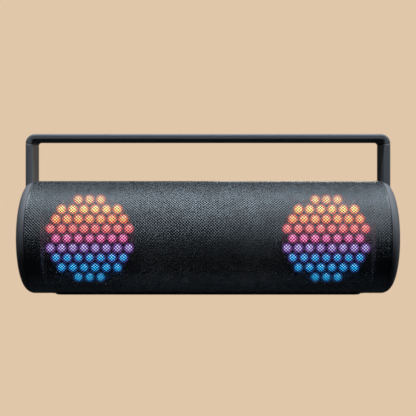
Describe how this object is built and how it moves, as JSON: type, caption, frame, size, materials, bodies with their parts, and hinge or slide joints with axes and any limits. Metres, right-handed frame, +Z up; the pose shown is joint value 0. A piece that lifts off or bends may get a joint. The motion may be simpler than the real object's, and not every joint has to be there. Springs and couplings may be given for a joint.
{
  "type": "party speaker",
  "caption": "Horizontal cylinder speaker with wrapped grille, rounded end caps, flat strap handle, round light panels, top buttons, rear port door and passive radiator ends.",
  "frame": {"origin": "middle of the footprint, on the surface that the foot pads stand on", "axes": "+X along the cylinder to the right seen from the front, -Y to the front, +Z up"},
  "size_m": [0.4188, 0.13, 0.1846],
  "materials": {
    "grille_metal": "fine satin powder coat on perforated steel",
    "cap_plastic": "satin moulded plastic, fine spark texture",
    "handle_plastic": "satin soft-touch moulded plastic",
    "foot_plastic": "matt moulded plastic",
    "pad_rubber": "matt rubber",
    "steel_zinc": "zinc plated",
    "cabinet_plastic": "matt ABS",
    "gasket_foam": "closed-cell foam",
    "basket_steel": "black zinc pressed steel",
    "motor_ferrite": "ferrite and zinc plate",
    "cone_paper": "coated paper pulp",
    "surround_rubber": "butyl rubber",
    "spider_cloth": "impregnated cloth",
    "light_board_mask": "white solder mask",
    "reflector_plastic": "matt moulded plastic",
    "lens_frosted": "frosted, lit from behind",
    "passive_plastic": "satin moulded plate",
    "panel_rubber": "soft-touch matt",
    "button_rubber": "silicone keypad",
    "light_guide": "clear polycarbonate",
    "board_green": "green solder mask",
    "door_rubber": "matt rubber over plastic",
    "socket_metal": "nickel plated shell",
    "jack_plastic": "black nylon",
    "cell_wrap": "shrink wrap",
    "sink_aluminium": "anodised",
    "shield_can": "tinned"
  },
  "bodies": {
    "speaker": {"grille": "grille_metal", "left_end_cap": "cap_plastic", "right_end_cap": "cap_plastic", "left_handle_leg": "handle_plastic", "right_handle_leg": "handle_plastic", "handle_bar": "handle_plastic", "handle_screws": "steel_zinc", "foot_rail": "foot_plastic", "foot_pads": "pad_rubber", "cabinet_shell": "cabinet_plastic", "front_baffle": "cabinet_plastic", "baffle_gasket": "gasket_foam", "baffle_screws": "steel_zinc", "left_driver_basket": "basket_steel", "right_driver_basket": "basket_steel", "left_driver_motor": "motor_ferrite", "right_driver_motor": "motor_ferrite", "left_driver_surround": "surround_rubber", "right_driver_surround": "surround_rubber", "left_driver_spider": "spider_cloth", "right_driver_spider": "spider_cloth", "driver_screws": "steel_zinc", "left_light_board": "light_board_mask", "right_light_board": "light_board_mask", "left_light_reflector": "reflector_plastic", "right_light_reflector": "reflector_plastic", "left_light_lenses": "lens_frosted", "right_light_lenses": "lens_frosted", "light_screws": "steel_zinc", "left_passive_frame": "cabinet_plastic", "right_passive_frame": "cabinet_plastic", "left_passive_surround": "surround_rubber", "right_passive_surround": "surround_rubber", "end_cap_screws": "steel_zinc", "control_panel": "panel_rubber", "control_board": "board_green", "status_light": "light_guide", "port_bay": "foot_plastic", "door_pin": "steel_zinc", "port_board": "board_green", "usb_sockets": "socket_metal", "aux_jack": "jack_plastic", "mic_jack": "jack_plastic", "battery_cells": "cell_wrap", "battery_holder": "foot_plastic", "main_board": "board_green", "heat_sink": "sink_aluminium", "wireless_module": "shield_can"},
    "power_button": {"power_button": "button_rubber"},
    "pairing_button": {"pairing_button": "button_rubber"},
    "volume_down_button": {"volume_down_button": "button_rubber"},
    "play_button": {"play_button": "button_rubber"},
    "volume_up_button": {"volume_up_button": "button_rubber"},
    "light_button": {"light_button": "button_rubber"},
    "party_link_button": {"party_link_button": "button_rubber"},
    "port_door": {"port_door": "door_rubber"},
    "left_driver_cone": {"left_driver_cone": "cone_paper"},
    "right_driver_cone": {"right_driver_cone": "cone_paper"},
    "left_passive_plate": {"left_passive_plate": "passive_plastic"},
    "right_passive_plate": {"right_passive_plate": "passive_plastic"}
  },
  "joints": [
    {"name": "power_press", "type": "slide", "parent": "speaker", "child": "power_button", "axis": [0, -0.4695, -0.8829], "range_m": [0, 0.0008], "stiffness_N_per_m": 1500},
    {"name": "pairing_press", "type": "slide", "parent": "speaker", "child": "pairing_button", "axis": [0, -0.4695, -0.8829], "range_m": [0, 0.0008], "stiffness_N_per_m": 1500},
    {"name": "volume_down_press", "type": "slide", "parent": "speaker", "child": "volume_down_button", "axis": [0, -0.4695, -0.8829], "range_m": [0, 0.0008], "stiffness_N_per_m": 1500},
    {"name": "play_press", "type": "slide", "parent": "speaker", "child": "play_button", "axis": [0, -0.4695, -0.8829], "range_m": [0, 0.0008], "stiffness_N_per_m": 1500},
    {"name": "volume_up_press", "type": "slide", "parent": "speaker", "child": "volume_up_button", "axis": [0, -0.4695, -0.8829], "range_m": [0, 0.0008], "stiffness_N_per_m": 1500},
    {"name": "light_press", "type": "slide", "parent": "speaker", "child": "light_button", "axis": [0, -0.4695, -0.8829], "range_m": [0, 0.0008], "stiffness_N_per_m": 1500},
    {"name": "party_link_press", "type": "slide", "parent": "speaker", "child": "party_link_button", "axis": [0, -0.4695, -0.8829], "range_m": [0, 0.0008], "stiffness_N_per_m": 1500},
    {"name": "port_door_hinge", "type": "hinge", "parent": "speaker", "child": "port_door", "pos_m": [0, 0.06226, 0.0566], "axis": [-1, 0, 0], "range_deg": [0, 110]},
    {"name": "left_cone_travel", "type": "slide", "parent": "speaker", "child": "left_driver_cone", "axis": [0, -1, 0], "range_m": [-0.003, 0.003], "stiffness_N_per_m": 2000},
    {"name": "right_cone_travel", "type": "slide", "parent": "speaker", "child": "right_driver_cone", "axis": [0, -1, 0], "range_m": [-0.003, 0.003], "stiffness_N_per_m": 2000},
    {"name": "left_passive_travel", "type": "slide", "parent": "speaker", "child": "left_passive_plate", "axis": [-1, 0, 0], "range_m": [-0.005, 0.005], "stiffness_N_per_m": 3000},
    {"name": "right_passive_travel", "type": "slide", "parent": "speaker", "child": "right_passive_plate", "axis": [1, 0, 0], "range_m": [-0.005, 0.005], "stiffness_N_per_m": 3000}
  ]
}
